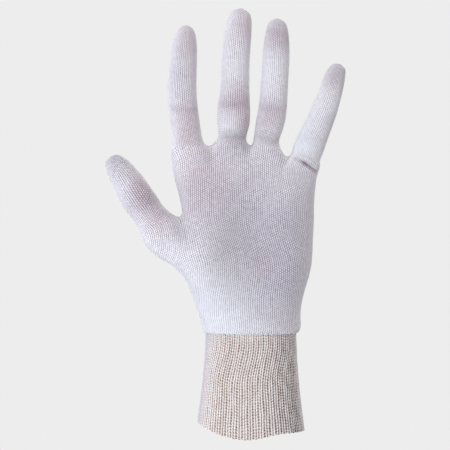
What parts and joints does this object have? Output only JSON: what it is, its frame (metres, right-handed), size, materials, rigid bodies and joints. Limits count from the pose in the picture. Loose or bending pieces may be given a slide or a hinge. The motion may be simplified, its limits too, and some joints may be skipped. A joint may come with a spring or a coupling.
{
  "type": "knitted cotton work glove",
  "caption": "Seamless knitted cotton work glove for the left hand, with a ribbed knit cuff, holding the shape of an open hand.",
  "frame": {"origin": "on the axis of the cuff, level with the lowest point of its mouth", "axes": "+Z from the cuff's mouth to the fingertips, the palm faces -Y, +X towards the little finger"},
  "size_m": [0.1464, 0.0515, 0.2614],
  "materials": {
    "plain_knit": "white cotton stockinette knit",
    "rib_knit": "ecru cotton 1x1 rib knit"
  },
  "bodies": {
    "root": {"palm": "plain_knit", "index_finger": "plain_knit", "middle_finger": "plain_knit", "ring_finger": "plain_knit", "little_finger": "plain_knit", "thumb": "plain_knit", "rib_cuff": "rib_knit"}
  },
  "joints": []
}
